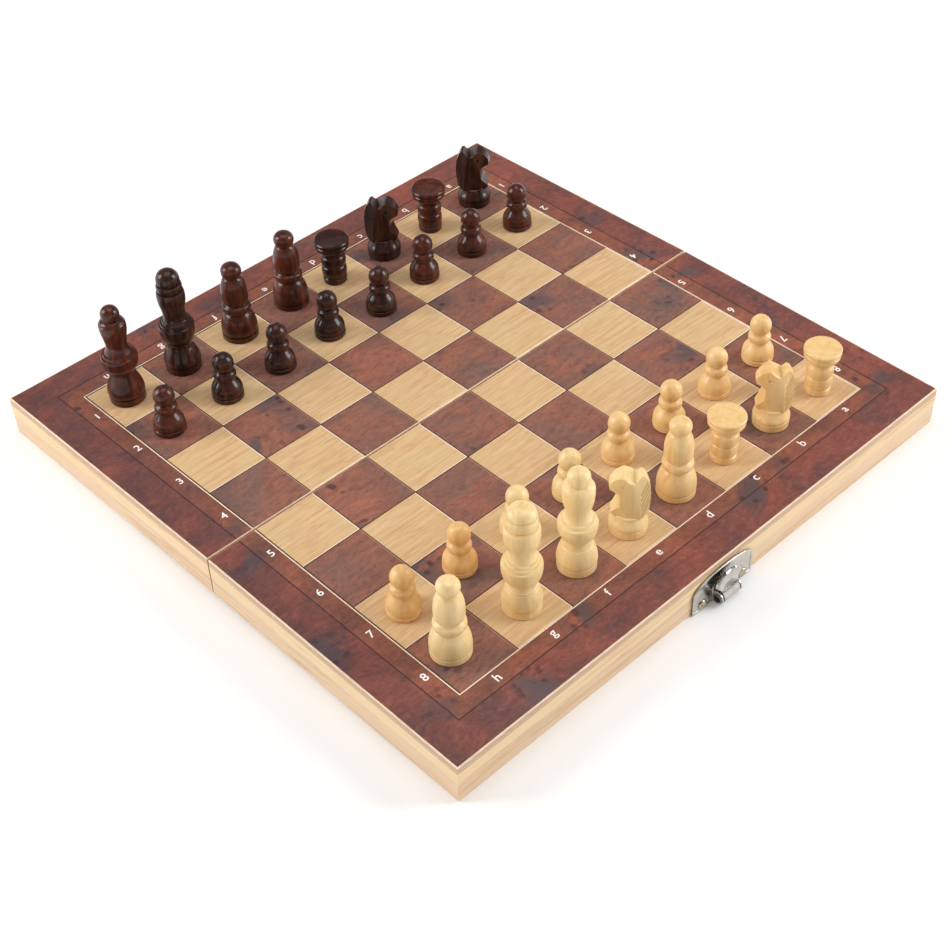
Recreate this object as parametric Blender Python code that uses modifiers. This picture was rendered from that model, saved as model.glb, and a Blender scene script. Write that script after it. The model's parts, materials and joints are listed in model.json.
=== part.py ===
"""A folding wooden chess board, laid open as two shallow trays on a pair of butt hinges,
with a swing catch on its front rail and a full set of turned chessmen standing on it.

Frame: +X runs from the h file to the a file, +Y from the eighth rank (front, catch side) to the
first rank, +Z up. The origin is on the table, under the middle of the seam between the halves.
"""

import math

import bmesh
import bpy
from mathutils import Matrix, Vector

MM = 0.001

# Driving dimensions, in millimetres.
SQUARE = 25.0
BORDER = 20.0
BOARD = 8 * SQUARE + 2 * BORDER
HALF_BOARD = BOARD / 2
CASE_HEIGHT = 16.5
PANEL_THICKNESS = 3.0
RAIL_WIDTH = 8.0
GAP = 0.3
SEAM_CLEARANCE = 0.15

# Butt hinges, whose pins lie in the plane where the two halves meet when the board is shut.
KNUCKLE_RADIUS = 1.2
KNUCKLE_BORE_RADIUS = 0.6
HINGE_PIN_RADIUS = 0.5
RIM_CLEARANCE = 0.15
HINGE_CENTRES = (-80.0, 80.0)
HINGE_LENGTH = 20.0
MIDDLE_KNUCKLE_LENGTH = 6.4
LEAF_THICKNESS = 0.8
LEAF_HEIGHT = 9.0
LEAF_RECESS_DEPTH = 1.5
HINGE_SCREW_HEIGHT = 5.5

# Catch: a pressed plate and a spoon-shaped tongue that swings on a hollow rivet.
PLATE_WIDTH = 30.0
PLATE_HEIGHT = 14.0
PLATE_SIDE_HEIGHT = 8.6
PLATE_THICKNESS = 0.7
PLATE_NOTCH_HEIGHT = 6.2
PLATE_FOOT = 0.1
CATCH_CENTRE = 0.5
CATCH_AXIS_HEIGHT = 2.9
CATCH_AXIS_OUT = 2.9
CATCH_ROLL_RADIUS = 2.5
CATCH_ROLL_BORE = 1.9
CATCH_ROLL_LENGTH = 8.2
CATCH_RIVET_RADIUS = 1.8
CATCH_RIVET_BORE = 1.1
EAR_THICKNESS = 0.7
TONGUE_THICKNESS = 0.6
NUB_RADIUS = 2.3
NUB_HEIGHT = 3.9
NUB_OUT = 2.4
CATCH_SCREW_OFFSET = 10.3
CATCH_SCREW_HEIGHT = 2.6

STEPS_ROUND = 12
SCREW_STEPS = 8

# The halves rest on their outer rims and on the hinge knuckles, so each one slopes a little.
TILT = math.asin((KNUCKLE_RADIUS + RIM_CLEARANCE) / HALF_BOARD)
PANEL_TOP = RIM_CLEARANCE + CASE_HEIGHT
PANEL_BOTTOM = PANEL_TOP - PANEL_THICKNESS
RAIL_TOP = PANEL_BOTTOM - GAP

# Turned outlines: (height, radius) from the foot up, in millimetres.
OUTLINES = {
    "pawn": (
        (0, 5.9), (1.9, 6.0), (2.4, 5.6), (3.7, 5.9), (6.2, 5.0), (8.6, 3.4), (10.4, 4.2),
        (12.3, 3.0), (14.6, 3.9), (17.2, 3.6), (19.0, 1.8), (19.6, 0),
    ),
    "rook": (
        (0, 4.7), (2.3, 4.8), (2.8, 4.4), (5.2, 5.0), (7.6, 4.5), (9.9, 5.0), (12.3, 4.2),
        (14.2, 4.6), (15.8, 6.4), (17.4, 6.5), (18.1, 6.9), (19.2, 6.9), (19.6, 6.4), (19.6, 0),
    ),
    "bishop": (
        (0, 6.9), (2.1, 6.9), (2.5, 6.4), (3.7, 7.0), (8.1, 6.3), (11.3, 4.6), (13.0, 5.5),
        (15.3, 4.3), (20.0, 5.1), (24.4, 4.5), (27.0, 3.2), (29.2, 3.9), (31.7, 2.8), (32.6, 0),
    ),
    "queen": (
        (0, 6.7), (2.8, 6.8), (3.2, 6.3), (5.2, 6.9), (9.6, 5.6), (13.0, 4.5), (16.5, 6.4),
        (20.0, 6.7), (22.2, 5.0), (25.0, 4.1), (30.7, 5.2), (35.1, 5.3), (37.3, 3.4),
        (39.2, 3.9), (41.8, 2.8), (42.9, 0),
    ),
    "king": (
        (0, 6.7), (3.0, 6.7), (3.3, 6.3), (5.5, 6.8), (9.6, 5.4), (12.2, 4.6), (15.0, 6.2),
        (19.6, 6.8), (22.2, 5.2), (25.0, 4.2), (29.6, 5.5), (34.5, 6.0), (36.9, 4.7),
        (39.0, 5.2), (40.9, 4.4), (42.4, 4.6), (44.1, 2.6), (44.6, 0),
    ),
    "knight": (
        (0, 6.6), (2.9, 6.7), (3.3, 6.3), (4.7, 6.6), (7.0, 5.3), (9.0, 4.6), (9.0, 0),
    ),
}

# Side view of the knight's head: (forward, height), in millimetres.
KNIGHT_HEAD = (
    (5.0, 8.0), (4.5, 11.6), (3.5, 15.0), (3.6, 17.8), (6.7, 19.2), (6.6, 22.0), (4.6, 24.4),
    (2.2, 25.2), (0.4, 24.0), (-1.8, 23.0), (-3.6, 25.4), (-5.5, 23.2), (-6.8, 18.0),
    (-6.6, 12.0), (-5.2, 8.0),
)
KNIGHT_HEAD_THICKNESS = 8.6
KNIGHT_LIGHT_HEADING = math.radians(135)
KNIGHT_DARK_HEADING = math.radians(-50)

# Who stands where, and how far off the middle of the square, in millimetres along X and Y.
LIGHT_MEN = {
    "h8": ("bishop", -2.0, 2.25), "g8": ("king", 2.0, -0.25), "f8": ("queen", 2.5, 0.0),
    "e8": ("knight", 1.25, 0.0), "d8": ("bishop", 1.5, 0.0), "c8": ("rook", 0.5, -0.5),
    "b8": ("knight", 1.0, -0.25), "a8": ("rook", 2.0, -1.5), "h7": ("pawn", -1.0, 0.25),
    "g7": ("pawn", -0.25, 1.25), "f7": ("pawn", 0.0, 0.0), "e7": ("pawn", 0.0, 0.0),
    "d7": ("pawn", 0.25, 0.75), "c7": ("pawn", 0.5, -0.75), "b7": ("pawn", 0.5, -0.5),
    "a7": ("pawn", 1.0, 0.25),
}
DARK_MEN = {
    "h1": ("queen", -0.75, 1.25), "g1": ("king", -0.5, 0.75), "f1": ("bishop", 1.5, 0.75),
    "e1": ("bishop", 3.0, 2.25), "d1": ("rook", -1.0, 1.0), "c1": ("knight", -0.25, 0.25),
    "b1": ("rook", -0.75, -0.25), "a1": ("knight", 0.25, 0.5), "h2": ("pawn", -0.75, 0.25),
    "g2": ("pawn", 0.25, -0.25), "f2": ("pawn", -0.5, -1.0), "e2": ("pawn", 0.25, 0.75),
    "d2": ("pawn", -1.0, -2.0), "c2": ("pawn", -0.25, 1.25), "b2": ("pawn", 0.0, 0.5),
    "a2": ("pawn", 0.0, -0.25),
}

for old in list(bpy.data.objects):
    bpy.data.objects.remove(old, do_unlink=True)

parts = bpy.data.collections.new("chess_set_with_board")
cutters = bpy.data.collections.new("cutters")
bpy.context.scene.collection.children.link(parts)
bpy.context.scene.collection.children.link(cutters)


def make_material(name, colour, roughness, metallic=0.0):
    """A Principled BSDF material of one colour."""
    material = bpy.data.materials.new(name)
    material.use_nodes = True
    shader = material.node_tree.nodes["Principled BSDF"]
    shader.inputs["Base Color"].default_value = (*colour, 1.0)
    shader.inputs["Roughness"].default_value = roughness
    shader.inputs["Metallic"].default_value = metallic
    return material


PANEL_FILM = make_material("printed_panel", (0.32, 0.16, 0.11), 0.42)
PINE = make_material("pine", (0.85, 0.70, 0.48), 0.6)
BRASSED_STEEL = make_material("hinge_steel", (0.62, 0.55, 0.38), 0.35, 1.0)
NICKEL = make_material("nickel_plate", (0.74, 0.73, 0.70), 0.22, 1.0)
SCREW_STEEL = make_material("screw_steel", (0.55, 0.54, 0.52), 0.35, 1.0)
BOXWOOD = make_material("boxwood", (0.80, 0.58, 0.28), 0.35)
EBONISED = make_material("dark_mahogany", (0.03, 0.012, 0.01), 0.22)


def add_object(name, mesh, material=None, parent=None, collection=parts):
    """Links an object for this mesh, with its material and its parent empty."""
    obj = bpy.data.objects.new(name, mesh)
    collection.objects.link(obj)
    if material and not mesh.materials:
        mesh.materials.append(material)
    obj.parent = parent
    return obj


def add_empty(name, location, rotation_x=0.0, parent=None):
    empty = bpy.data.objects.new(name, None)
    empty.empty_display_size = 0.01
    empty.location = Vector(location) * MM
    empty.rotation_euler = (rotation_x, 0, 0)
    empty.parent = parent
    parts.objects.link(empty)
    return empty


def box_mesh(name, low, high):
    """A box between two corners, in millimetres."""
    low = Vector(low) * MM
    high = Vector(high) * MM
    size = high - low
    mesh_edit = bmesh.new()
    bmesh.ops.create_cube(mesh_edit, size=1.0)
    bmesh.ops.scale(mesh_edit, vec=size, verts=mesh_edit.verts)
    bmesh.ops.translate(mesh_edit, vec=(low + high) / 2, verts=mesh_edit.verts)
    mesh = bpy.data.meshes.new(name)
    mesh_edit.to_mesh(mesh)
    mesh_edit.free()
    return mesh


def cylinder_mesh(name, radius, start, end, segments=STEPS_ROUND):
    """A capped cylinder between two points, in millimetres."""
    start = Vector(start) * MM
    end = Vector(end) * MM
    along = end - start
    mesh_edit = bmesh.new()
    bmesh.ops.create_cone(mesh_edit, cap_ends=True, segments=segments, radius1=radius * MM,
                          radius2=radius * MM, depth=along.length)
    turn = Vector((0, 0, 1)).rotation_difference(along).to_matrix().to_4x4()
    bmesh.ops.transform(mesh_edit, matrix=Matrix.Translation((start + end) / 2) @ turn,
                        verts=mesh_edit.verts)
    mesh = bpy.data.meshes.new(name)
    mesh_edit.to_mesh(mesh)
    mesh_edit.free()
    return mesh


def outline_mesh(name, outlines, thickness):
    """A flat plate in the XY plane from closed outlines; inner outlines are holes."""
    curve = bpy.data.curves.new(name, "CURVE")
    curve.dimensions = "2D"
    curve.fill_mode = "BOTH"
    curve.extrude = thickness / 2 * MM
    for outline in outlines:
        spline = curve.splines.new("POLY")
        spline.points.add(len(outline) - 1)
        for point, (x, y) in zip(spline.points, outline):
            point.co = (x * MM, y * MM, 0, 1)
        spline.use_cyclic_u = True
    temporary = bpy.data.objects.new(name, curve)
    bpy.context.scene.collection.objects.link(temporary)
    graph = bpy.context.evaluated_depsgraph_get()
    mesh = bpy.data.meshes.new_from_object(temporary.evaluated_get(graph))
    bpy.data.objects.remove(temporary, do_unlink=True)
    bpy.data.curves.remove(curve)
    mesh_edit = bmesh.new()
    mesh_edit.from_mesh(mesh)
    bmesh.ops.remove_doubles(mesh_edit, verts=mesh_edit.verts, dist=0.00001)
    bmesh.ops.recalc_face_normals(mesh_edit, faces=mesh_edit.faces)
    mesh_edit.to_mesh(mesh)
    mesh_edit.free()
    mesh.name = name
    return mesh


def profile_mesh(name, outline):
    """The outline of a turned piece, on +X, from the top of the axis down the outside to its foot."""
    points = [(radius * MM, 0, height * MM) for height, radius in reversed(outline)]
    points.append((0, 0, outline[0][0] * MM))
    mesh = bpy.data.meshes.new(name)
    mesh.from_pydata(points, [(i, i + 1) for i in range(len(points) - 1)], [])
    return mesh


def add_turning(obj, steps=STEPS_ROUND):
    """Spins the object's outline about its own Z axis."""
    screw = obj.modifiers.new("turning", "SCREW")
    screw.steps = steps
    screw.render_steps = steps
    screw.use_merge_vertices = True
    screw.merge_threshold = 0.00001
    return screw


def circle(x, y, radius, segments=STEPS_ROUND):
    return [
        (x + radius * math.cos(2 * math.pi * i / segments), y + radius * math.sin(2 * math.pi * i / segments))
        for i in range(segments)
    ]


def combine(obj, name, mesh, operation):
    """Cuts the mesh from the object, or joins it on; the helper shares the object's placing."""
    helper = add_object(name, mesh, parent=obj.parent, collection=cutters)
    helper.location = obj.location
    helper.rotation_euler = obj.rotation_euler
    helper.hide_render = True
    helper.display_type = "WIRE"
    boolean = obj.modifiers.new(name, "BOOLEAN")
    boolean.operation = operation
    boolean.object = helper
    return helper


def evaluated_mesh(obj, name):
    """The object's mesh with its modifiers applied, after which the object is removed."""
    graph = bpy.context.evaluated_depsgraph_get()
    mesh = bpy.data.meshes.new_from_object(obj.evaluated_get(graph))
    mesh.name = name
    bpy.data.objects.remove(obj, do_unlink=True)
    return mesh


front_frame = add_empty("front_half_frame", (0, 0, KNUCKLE_RADIUS), TILT)
back_frame = add_empty("back_half_frame", (0, 0, KNUCKLE_RADIUS), -TILT)
HALVES = (("front", -1, front_frame), ("back", 1, back_frame))


# ---- Case: one thin panel and four mitred rails to a half ----

def rail_mesh(name, start, end, inward):
    """A rail whose outer edge runs from start to end, mitred at both ends."""
    start = Vector((*start, 0))
    end = Vector((*end, 0))
    inward = Vector((*inward, 0))
    along = (end - start).normalized()
    mitre_gap = GAP / math.sqrt(2)
    corners = [
        start + along * mitre_gap,
        end - along * mitre_gap,
        end - along * (mitre_gap + RAIL_WIDTH) + inward * RAIL_WIDTH,
        start + along * (mitre_gap + RAIL_WIDTH) + inward * RAIL_WIDTH,
    ]
    return outline_mesh(name, [[(corner.x, corner.y) for corner in corners]], RAIL_TOP - RIM_CLEARANCE)


for half, side, frame in HALVES:
    seam = side * SEAM_CLEARANCE
    rim = side * HALF_BOARD
    panel = box_mesh(f"{half}_panel", (-HALF_BOARD, min(seam, rim), PANEL_BOTTOM),
                     (HALF_BOARD, max(seam, rim), PANEL_TOP))
    add_object(f"{half}_panel", panel, PANEL_FILM, frame)

    rails = {
        "outer": ((-HALF_BOARD, rim), (HALF_BOARD, rim), (0, -side)),
        "centre": ((-HALF_BOARD, seam), (HALF_BOARD, seam), (0, side)),
        "left": ((-HALF_BOARD, seam), (-HALF_BOARD, rim), (1, 0)),
        "right": ((HALF_BOARD, seam), (HALF_BOARD, rim), (-1, 0)),
    }
    for place, (start, end, inward) in rails.items():
        name = f"{half}_{place}_rail"
        rail = add_object(name, rail_mesh(name, start, end, inward), PINE, frame)
        rail.location.z = (RIM_CLEARANCE + RAIL_TOP) / 2 * MM


# ---- Hinges: knuckled leaves let into the centre rails, and their pins ----

def leaf_mesh(name, side, spans):
    """A hinge leaf standing against the centre rail, with knuckles over the given spans of X."""
    inner = KNUCKLE_RADIUS - LEAF_THICKNESS
    sheet = box_mesh(name, (-HINGE_LENGTH / 2, min(side * inner, side * KNUCKLE_RADIUS), KNUCKLE_RADIUS + GAP),
                     (HINGE_LENGTH / 2, max(side * inner, side * KNUCKLE_RADIUS), LEAF_HEIGHT))
    leaf = add_object(name, sheet)
    for index, (low, high) in enumerate(spans):
        web = box_mesh("web", (low, min(side * inner, side * KNUCKLE_RADIUS), 0),
                       (high, max(side * inner, side * KNUCKLE_RADIUS), KNUCKLE_RADIUS + 2 * GAP))
        combine(leaf, f"{name}_web_{index}", web, "UNION")
        barrel = cylinder_mesh("barrel", KNUCKLE_RADIUS, (low, 0, 0), (high, 0, 0))
        combine(leaf, f"{name}_barrel_{index}", barrel, "UNION")
    bore = cylinder_mesh("bore", KNUCKLE_BORE_RADIUS, (-HINGE_LENGTH, 0, 0), (HINGE_LENGTH, 0, 0))
    combine(leaf, f"{name}_bore", bore, "DIFFERENCE")
    hole = cylinder_mesh("hole", 1.5, (0, -3, HINGE_SCREW_HEIGHT), (0, 3, HINGE_SCREW_HEIGHT))
    combine(leaf, f"{name}_hole", hole, "DIFFERENCE")
    return evaluated_mesh(leaf, name)


middle = MIDDLE_KNUCKLE_LENGTH / 2
knuckle_spans = {
    "front": ((-HINGE_LENGTH / 2, -middle - GAP), (middle + GAP, HINGE_LENGTH / 2)),
    "back": ((-middle, middle),),
}
leaf_meshes = {half: leaf_mesh(f"hinge_leaf_{half}", side, knuckle_spans[half]) for half, side, _ in HALVES}
pin_mesh = cylinder_mesh("hinge_pin", HINGE_PIN_RADIUS, (-HINGE_LENGTH / 2, 0, 0), (HINGE_LENGTH / 2, 0, 0))

for place, centre in zip(("left", "right"), HINGE_CENTRES):
    for half, side, frame in HALVES:
        leaf = add_object(f"{place}_hinge_{half}_leaf", leaf_meshes[half], BRASSED_STEEL, frame)
        leaf.location.x = centre * MM
        rail = bpy.data.objects[f"{half}_centre_rail"]
        half_length = HINGE_LENGTH / 2 + GAP
        recess = box_mesh("recess", (-half_length, -LEAF_RECESS_DEPTH, -LEAF_HEIGHT),
                          (half_length, LEAF_RECESS_DEPTH, LEAF_HEIGHT + GAP))
        cutter = combine(rail, f"{half}_{place}_hinge_recess", recess, "DIFFERENCE")
        cutter.location = (centre * MM, 0, 0)
    pin = add_object(f"{place}_hinge_pin", pin_mesh, SCREW_STEEL, front_frame)
    pin.location.x = centre * MM


# ---- Screws ----

def screw_profile(head_radius, head_height, shank_radius, shank_length):
    """A wood screw standing head up on its own Z axis, with the top of its head at z = 0."""
    return (
        (-head_height - shank_length, 0.2),
        (-head_height - shank_length + 1.0, shank_radius),
        (-head_height, shank_radius),
        (-head_height, head_radius),
        (-0.15, head_radius),
        (0, head_radius - 0.25),
        (0, 0),
    )


def add_screw(name, outline, head, side, bore_radius, frame, rail_name):
    """A screw driven along Y with its head at the given point, in a pilot hole in the named rail."""
    screw = add_object(name, profile_mesh(name, outline), SCREW_STEEL, frame)
    add_turning(screw, SCREW_STEPS)
    screw.rotation_euler.x = math.radians(-90 * side)
    screw.location = Vector(head) * MM
    length = -outline[0][0] + GAP
    x, y, z = head
    pilot = cylinder_mesh("pilot", bore_radius, (x, y, z), (x, y - side * length, z), SCREW_STEPS)
    cutter = combine(bpy.data.objects[rail_name], f"{name}_pilot", pilot, "DIFFERENCE")
    cutter.location = (0, 0, 0)


hinge_screw = screw_profile(1.2, 0.65, 0.5, 4.0)
for half, side, frame in HALVES:
    for place, centre in zip(("left", "right"), HINGE_CENTRES):
        head = (centre, side * (KNUCKLE_RADIUS - LEAF_THICKNESS + 0.05), HINGE_SCREW_HEIGHT)
        add_screw(f"{place}_hinge_{half}_screw", hinge_screw, head, -side, 0.8, frame, f"{half}_centre_rail")


# ---- Catch on the front rail and its keeper on the back rail ----

def plate_outline(notch_half_width=0.0):
    """The arched plate, with a notch in its lower edge where a half width is given."""
    half_width = PLATE_WIDTH / 2
    rise = PLATE_HEIGHT - PLATE_SIDE_HEIGHT
    arch = [
        (half_width * math.cos(angle), PLATE_SIDE_HEIGHT + rise * math.sin(angle) ** 0.8)
        for angle in (math.radians(15 * i) for i in range(7))
    ]
    notch = [(notch_half_width, PLATE_NOTCH_HEIGHT), (notch_half_width, PLATE_FOOT)]
    right_side = (notch if notch_half_width else []) + [(half_width, PLATE_FOOT)] + arch[:-1]
    left_side = [(-x, y) for x, y in reversed(right_side)]
    return right_side + [(0.0, PLATE_HEIGHT)] + left_side


screw_holes = [circle(side * CATCH_SCREW_OFFSET, CATCH_SCREW_HEIGHT, 0.9, 8) for side in (-1, 1)]
ear_inner = CATCH_ROLL_LENGTH / 2 + GAP
plate_out = GAP + PLATE_THICKNESS / 2

latch_plate = add_object(
    "latch_plate", outline_mesh("latch_plate", [plate_outline(ear_inner), *screw_holes], PLATE_THICKNESS), NICKEL,
    front_frame)
latch_plate.rotation_euler = (math.radians(90), 0, 0)
latch_plate.location = Vector((CATCH_CENTRE, -HALF_BOARD - plate_out, 0)) * MM

keeper_plate = add_object(
    "keeper_plate", outline_mesh("keeper_plate", [plate_outline(), *screw_holes], PLATE_THICKNESS), NICKEL,
    back_frame)
keeper_plate.rotation_euler = (math.radians(90), 0, 0)
keeper_plate.location = Vector((CATCH_CENTRE, HALF_BOARD + plate_out, 0)) * MM


def ear_mesh(name, low):
    """A lug bent out of the plate: a strip with a round end about the rivet, bored for it."""
    round_end = [
        (CATCH_AXIS_OUT + CATCH_ROLL_RADIUS * math.cos(angle), CATCH_AXIS_HEIGHT + CATCH_ROLL_RADIUS * math.sin(angle))
        for angle in (math.radians(-90 + 22.5 * i) for i in range(9))
    ]
    back = GAP + 0.1
    outline = [(back, CATCH_AXIS_HEIGHT - CATCH_ROLL_RADIUS), *round_end, (back, CATCH_AXIS_HEIGHT + CATCH_ROLL_RADIUS)]
    hole = circle(CATCH_AXIS_OUT, CATCH_AXIS_HEIGHT, CATCH_ROLL_BORE)
    mesh = outline_mesh(name, [outline, hole], EAR_THICKNESS)
    # The outline lies in (out, up); it is turned to face along X, out of the front rail.
    turn = Matrix(((0, 0, 1, low + EAR_THICKNESS / 2), (0, 1, 0, 0), (-1, 0, 0, plate_out), (0, 0, 0, 1)))
    turn.translation *= MM
    flip = Matrix(((1, 0, 0, 0), (0, 1, 0, 0), (0, 0, -1, 0), (0, 0, 0, 1)))
    mesh.transform(flip @ turn)
    mesh.flip_normals()
    return mesh


for index, low in enumerate((-ear_inner - EAR_THICKNESS, ear_inner)):
    combine(latch_plate, f"latch_ear_{index}", ear_mesh("ear", low), "UNION")

nub = cylinder_mesh("nub", NUB_RADIUS, (0, NUB_HEIGHT, plate_out - NUB_OUT), (0, NUB_HEIGHT, 0))
combine(keeper_plate, "keeper_nub", nub, "UNION")

catch_axis = add_empty(
    "catch_axis", (CATCH_CENTRE, -HALF_BOARD - CATCH_AXIS_OUT, CATCH_AXIS_HEIGHT), parent=front_frame)

rivet_length = CATCH_ROLL_LENGTH / 2 + GAP + EAR_THICKNESS + 0.4
rivet = add_object(
    "latch_pin", cylinder_mesh("latch_pin", CATCH_RIVET_RADIUS, (-rivet_length, 0, 0), (rivet_length, 0, 0)),
    SCREW_STEEL, catch_axis)
combine(rivet, "latch_pin_bore",
        cylinder_mesh("bore", CATCH_RIVET_BORE, (-rivet_length - 1, 0, 0), (rivet_length + 1, 0, 0)), "DIFFERENCE")


def tongue_surface(name):
    """The spoon of the tongue as one open sheet: hollow to the front, with a lip at its tip."""
    # Each row: height, distance out at the middle, half width, depth of the hollow.
    rows = (
        (3.9, 0.75, 4.0, 0.0), (5.9, 1.8, 4.05, 0.1), (7.4, 1.7, 6.5, 1.2), (9.8, 1.8, 6.4, 1.3),
        (11.9, 2.2, 5.0, 0.9), (13.3, 3.4, 2.6, 0.2),
    )
    columns = 6
    mesh_edit = bmesh.new()
    grid = []
    for height, out, half_width, depth in rows:
        line = []
        for index in range(columns + 1):
            across = 2 * index / columns - 1
            hollow = depth * across ** 2
            point = Vector((across * half_width, -(out + hollow - CATCH_AXIS_OUT), height - CATCH_AXIS_HEIGHT))
            line.append(mesh_edit.verts.new(point * MM))
        grid.append(line)
    for lower, upper in zip(grid, grid[1:]):
        for index in range(columns):
            mesh_edit.faces.new((lower[index], lower[index + 1], upper[index + 1], upper[index]))
    mesh = bpy.data.meshes.new(name)
    mesh_edit.to_mesh(mesh)
    mesh_edit.free()
    return mesh


spoon = add_object("spoon", tongue_surface("spoon"))
solidify = spoon.modifiers.new("sheet", "SOLIDIFY")
solidify.thickness = TONGUE_THICKNESS * MM
solidify.offset = 0
spoon_mesh = evaluated_mesh(spoon, "spoon")

roll_half = CATCH_ROLL_LENGTH / 2
tongue = add_object(
    "latch_tongue", cylinder_mesh("latch_tongue", CATCH_ROLL_RADIUS, (-roll_half, 0, 0), (roll_half, 0, 0), 16),
    NICKEL, catch_axis)
combine(tongue, "latch_spoon", spoon_mesh, "UNION")
combine(tongue, "latch_roll_bore",
        cylinder_mesh("bore", CATCH_ROLL_BORE, (-10, 0, 0), (10, 0, 0), 16), "DIFFERENCE")

plate_screw = screw_profile(1.5, 0.7, 0.6, 5.0)
screw_out = HALF_BOARD + 2 * GAP + PLATE_THICKNESS + 0.7
for half, side, frame, name in (("front", -1, front_frame, "latch"), ("back", 1, back_frame, "keeper")):
    for place, offset in (("left", -CATCH_SCREW_OFFSET), ("right", CATCH_SCREW_OFFSET)):
        head = (CATCH_CENTRE + offset, side * screw_out, CATCH_SCREW_HEIGHT)
        add_screw(f"{name}_{place}_screw", plate_screw, head, side, 0.9, frame, f"{half}_outer_rail")


# ---- Chessmen ----

def knight_mesh(name):
    """A turned foot with a flat carved head on it, facing +X."""
    foot = add_object(name, profile_mesh(name, OUTLINES["knight"]))
    add_turning(foot)
    head = outline_mesh("head", [KNIGHT_HEAD], KNIGHT_HEAD_THICKNESS)
    head.transform(Matrix.Rotation(math.radians(90), 4, "X"))
    combine(foot, f"{name}_head", head, "UNION")
    return evaluated_mesh(foot, name)


def place_men(shade, material, men, frame, heading):
    """Stands one colour's men on their squares, each as its own object."""
    meshes = {
        kind: profile_mesh(f"{shade}_{kind}", outline)
        for kind, outline in OUTLINES.items()
        if kind != "knight"
    }
    meshes["knight"] = knight_mesh(f"{shade}_knight")
    for square, (kind, shift_x, shift_y) in men.items():
        column = "hgfedcba".index(square[0])
        row = 8 - int(square[1])
        man = add_object(f"{shade}_{kind}_{square}", meshes[kind], material, frame)
        man.location = Vector((
            (column - 3.5) * SQUARE + shift_x, (row - 3.5) * SQUARE + shift_y, PANEL_TOP + GAP)) * MM
        if kind == "knight":
            man.rotation_euler.z = heading
        else:
            add_turning(man)


place_men("light", BOXWOOD, LIGHT_MEN, front_frame, KNIGHT_LIGHT_HEADING)
place_men("dark", EBONISED, DARK_MEN, back_frame, KNIGHT_DARK_HEADING)
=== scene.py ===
"""The looks of a folding chess board, open on a table, with its men set up on it."""

import json
import math
import random

import bmesh
import bpy
from mathutils import Matrix, Vector


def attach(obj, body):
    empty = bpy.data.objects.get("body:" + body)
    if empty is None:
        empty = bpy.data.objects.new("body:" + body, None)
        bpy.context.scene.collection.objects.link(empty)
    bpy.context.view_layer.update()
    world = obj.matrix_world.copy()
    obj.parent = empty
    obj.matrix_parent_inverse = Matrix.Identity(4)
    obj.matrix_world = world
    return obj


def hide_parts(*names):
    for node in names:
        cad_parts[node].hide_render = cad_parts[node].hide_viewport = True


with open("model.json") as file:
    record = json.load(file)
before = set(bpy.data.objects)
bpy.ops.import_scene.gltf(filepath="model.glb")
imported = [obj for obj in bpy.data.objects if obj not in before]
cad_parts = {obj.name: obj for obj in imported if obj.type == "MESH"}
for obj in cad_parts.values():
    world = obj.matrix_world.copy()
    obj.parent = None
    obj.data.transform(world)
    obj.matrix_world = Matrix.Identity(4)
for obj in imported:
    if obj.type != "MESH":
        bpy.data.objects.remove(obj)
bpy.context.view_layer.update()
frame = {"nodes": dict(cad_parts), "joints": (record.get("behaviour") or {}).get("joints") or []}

MM = 0.001
nodes = frame["nodes"]
random.seed(8)

# Board sizes, in millimetres, in the plane of one half: z = 0 is the hinge axis.
SQUARE = 25.0
FIELD = 4 * SQUARE
HALF_BOARD = 120.0
PANEL_TOP = 16.65
PANEL_THICKNESS = 3.0
RAIL_TOP = PANEL_TOP - PANEL_THICKNESS
RAIL_FOOT = 0.15
RAIL_WIDTH = 8.0
RAIL_GROOVE_HEIGHT = 8.3
RAIL_GROOVE_DEPTH = 0.4
SEAM = 0.15
SANDED_EDGE = 0.5
DARK_LINE = 0.42
LINE_WIDTH = 0.55
BAND_WIDTH = 7.0
PRINT_DEPTH = 0.1

fold = next(joint for joint in frame["joints"] if joint["name"] == "board_fold")
TILT = math.asin((fold["pos_m"][2] / MM + RAIL_FOOT) / HALF_BOARD)
HALVES = {
    half: {
        "side": side,
        "body": f"{half}_half",
        "place": Matrix.Translation(fold["pos_m"]) @ Matrix.Rotation(-side * TILT, 4, "X"),
    }
    for half, side in (("front", -1), ("back", 1))
}


# ---- Material helpers ----

def linear(red, green, blue):
    """The linear colour of an 8-bit sRGB one."""
    def channel(value):
        value /= 255
        return value / 12.92 if value <= 0.04045 else ((value + 0.055) / 1.055) ** 2.4
    return (channel(red), channel(green), channel(blue), 1.0)


def darker(colour, share):
    return (*[channel * share for channel in colour[:3]], 1)


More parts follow.
